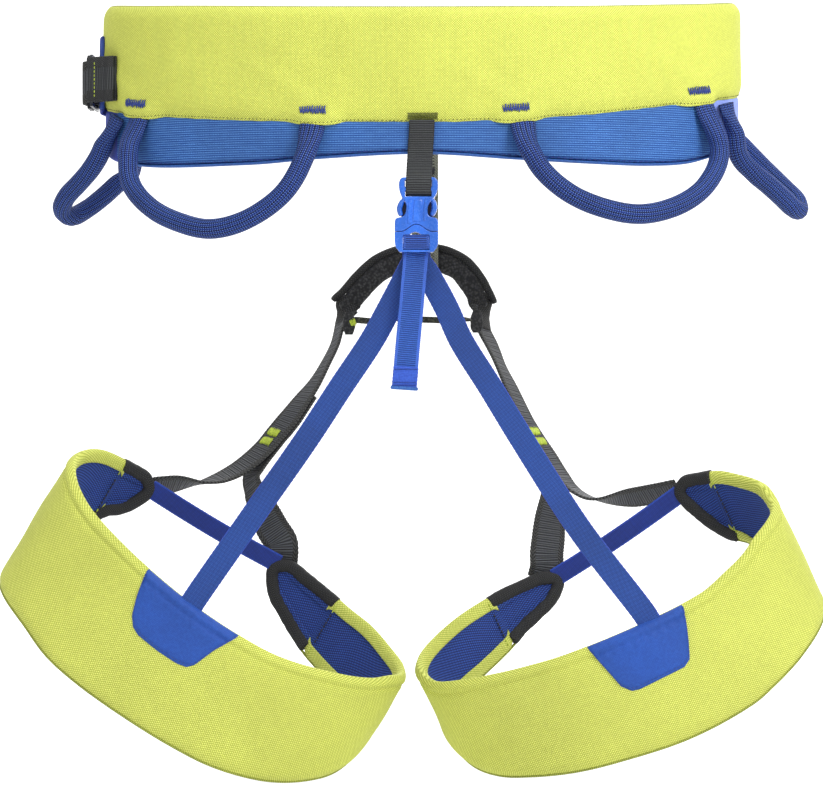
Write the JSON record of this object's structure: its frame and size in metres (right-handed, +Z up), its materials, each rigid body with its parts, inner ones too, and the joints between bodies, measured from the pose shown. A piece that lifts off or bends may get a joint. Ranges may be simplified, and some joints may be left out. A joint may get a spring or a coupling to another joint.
{
  "type": "climbing harness",
  "caption": "Sit harness with a padded waist belt, two padded leg loops, a rear drop-seat buckle with elastics, gear loops, tie-in arch and belay loop",
  "frame": {"origin": "the middle of the waist ring, level with the middle of the rear pad, where the wearer holds the harness", "axes": "X to the right seen from the rear, Y from the rear pad to the front, Z up"},
  "size_m": [0.4729, 0.1979, 0.4447],
  "materials": {
    "yellow_shell": "matt ripstop weave",
    "blue_mesh": "matt knitted mesh",
    "deep_blue_mesh": "matt knitted mesh",
    "periwinkle_panel": "matt smooth fabric",
    "violet_panel": "matt smooth fabric",
    "patch_fabric": "matt smooth fabric",
    "black_webbing": "woven webbing",
    "grey_webbing": "ribbed woven webbing",
    "blue_webbing": "woven webbing",
    "blue_elastic": "ribbed elastic webbing",
    "dark_blue_elastic": "woven elastic webbing",
    "black_binding": "folded binding tape",
    "dark_elastic": "round elastic",
    "gear_sleeve": "braided sleeve",
    "buckle_plastic": "glossy acetal",
    "anodised_metal": "satin",
    "black_metal": "black anodised"
  },
  "bodies": {
    "harness": {"belt_lining": "blue_mesh", "belt_shell": "yellow_shell", "belt_lower_band": "blue_mesh", "belt_panel_left": "violet_panel", "belt_panel_right": "periwinkle_panel", "front_webbing_left": "blue_webbing", "waist_buckle_base": "anodised_metal", "buckle_keeper": "black_webbing", "waist_webbing": "grey_webbing", "rear_strap": "black_webbing", "buckle_female": "buckle_plastic", "rear_elastic_left": "blue_elastic", "rear_elastic_right": "blue_elastic", "tie_in_arch": "black_binding", "tie_in_upper": "grey_webbing", "riser_webbing_left": "grey_webbing", "inner_webbing_left": "grey_webbing", "riser_webbing_right": "grey_webbing", "inner_webbing_right": "grey_webbing", "elastic_tab_left": "dark_elastic", "elastic_tab_right": "dark_elastic", "cross_elastic": "dark_elastic"},
    "drop_buckle": {"buckle_male": "buckle_plastic"},
    "arm_left": {"release_arm_left": "buckle_plastic"},
    "arm_right": {"release_arm_right": "buckle_plastic"},
    "tail": {"elastic_tail": "blue_elastic"},
    "slider": {"waist_buckle_slider": "black_metal"},
    "belay": {"belay_loop": "grey_webbing"},
    "gear_rear_left": {"gear_loop_rear_left": "gear_sleeve"},
    "gear_rear_right": {"gear_loop_rear_right": "gear_sleeve"},
    "gear_side_left": {"gear_loop_side_left": "gear_sleeve"},
    "gear_side_right": {"gear_loop_side_right": "gear_sleeve"},
    "leg_left": {"leg_shell_left": "yellow_shell", "leg_lining_left": "deep_blue_mesh", "leg_binding_outer_left": "black_binding", "leg_binding_inner_left": "black_binding", "leg_patch_left": "patch_fabric", "leg_elastic_left": "dark_blue_elastic"},
    "leg_right": {"leg_shell_right": "yellow_shell", "leg_lining_right": "deep_blue_mesh", "leg_binding_outer_right": "black_binding", "leg_binding_inner_right": "black_binding", "leg_patch_right": "patch_fabric", "leg_elastic_right": "dark_blue_elastic"}
  },
  "joints": [
    {"name": "leg_left_swing", "type": "hinge", "parent": "harness", "child": "leg_left", "pos_m": [-0.15865, 0.02333, -0.23197], "axis": [0.8477, 0.1416, -0.5112], "range_deg": [0, 12], "stiffness_Nm_per_rad": 5, "springref_deg": -6.88, "deforming": ["rear_elastic_left"]},
    {"name": "leg_right_swing", "type": "hinge", "parent": "harness", "child": "leg_right", "pos_m": [0.08229, 0.03487, -0.28046], "axis": [0.8088, -0.1395, 0.5714], "range_deg": [0, 12], "stiffness_Nm_per_rad": 5, "springref_deg": -6.88, "deforming": ["rear_elastic_right"]},
    {"name": "drop_buckle_slide", "type": "slide", "parent": "harness", "child": "drop_buckle", "axis": [0, 0, 1], "range_m": [0, 0.02], "deforming": ["rear_strap"]},
    {"name": "tail_swing", "type": "hinge", "parent": "harness", "child": "tail", "pos_m": [-0.0035, -0.09445, -0.097], "axis": [-1, 0, 0], "range_deg": [0, 25]},
    {"name": "arm_left_squeeze", "type": "hinge", "parent": "drop_buckle", "child": "arm_left", "pos_m": [-0.0139, -0.0954, -0.07375], "axis": [0, 1, 0], "range_deg": [0, 5], "stiffness_Nm_per_rad": 0.15, "springref_deg": -1.72},
    {"name": "arm_right_squeeze", "type": "hinge", "parent": "drop_buckle", "child": "arm_right", "pos_m": [0.0069, -0.0954, -0.07375], "axis": [0, -1, 0], "range_deg": [0, 5], "stiffness_Nm_per_rad": 0.15, "springref_deg": -1.72},
    {"name": "slider_slide", "type": "slide", "parent": "harness", "child": "slider", "axis": [0, 1, 0], "range_m": [-0.0012, 0.002]},
    {"name": "belay_turn", "type": "hinge", "parent": "harness", "child": "belay", "pos_m": [0.002, 0.084, -0.054], "axis": [0, 0, 1], "range_deg": [-8, 8]},
    {"name": "gear_rear_left_swing", "type": "hinge", "parent": "harness", "child": "gear_rear_left", "pos_m": [-0.10849, -0.06384, -0.0168], "axis": [-0.9331, 0.3546, 0.0609], "range_deg": [0, 40], "stiffness_Nm_per_rad": 0.08, "springref_deg": -3.44},
    {"name": "gear_rear_right_swing", "type": "hinge", "parent": "harness", "child": "gear_rear_right", "pos_m": [0.10698, -0.06317, -0.01199], "axis": [-0.9288, -0.3518, -0.1165], "range_deg": [0, 40], "stiffness_Nm_per_rad": 0.08, "springref_deg": -3.44},
    {"name": "gear_side_left_swing", "type": "hinge", "parent": "harness", "child": "gear_side_left", "pos_m": [-0.16964, 0.00283, -0.01028], "axis": [0.0718, 0.9972, 0.0187], "range_deg": [0, 30], "stiffness_Nm_per_rad": 0.08, "springref_deg": -3.44},
    {"name": "gear_side_right_swing", "type": "hinge", "parent": "harness", "child": "gear_side_right", "pos_m": [0.1727, -0.00219, -0.00494], "axis": [-0.0543, -0.9971, 0.0534], "range_deg": [0, 30], "stiffness_Nm_per_rad": 0.08, "springref_deg": -3.44}
  ]
}
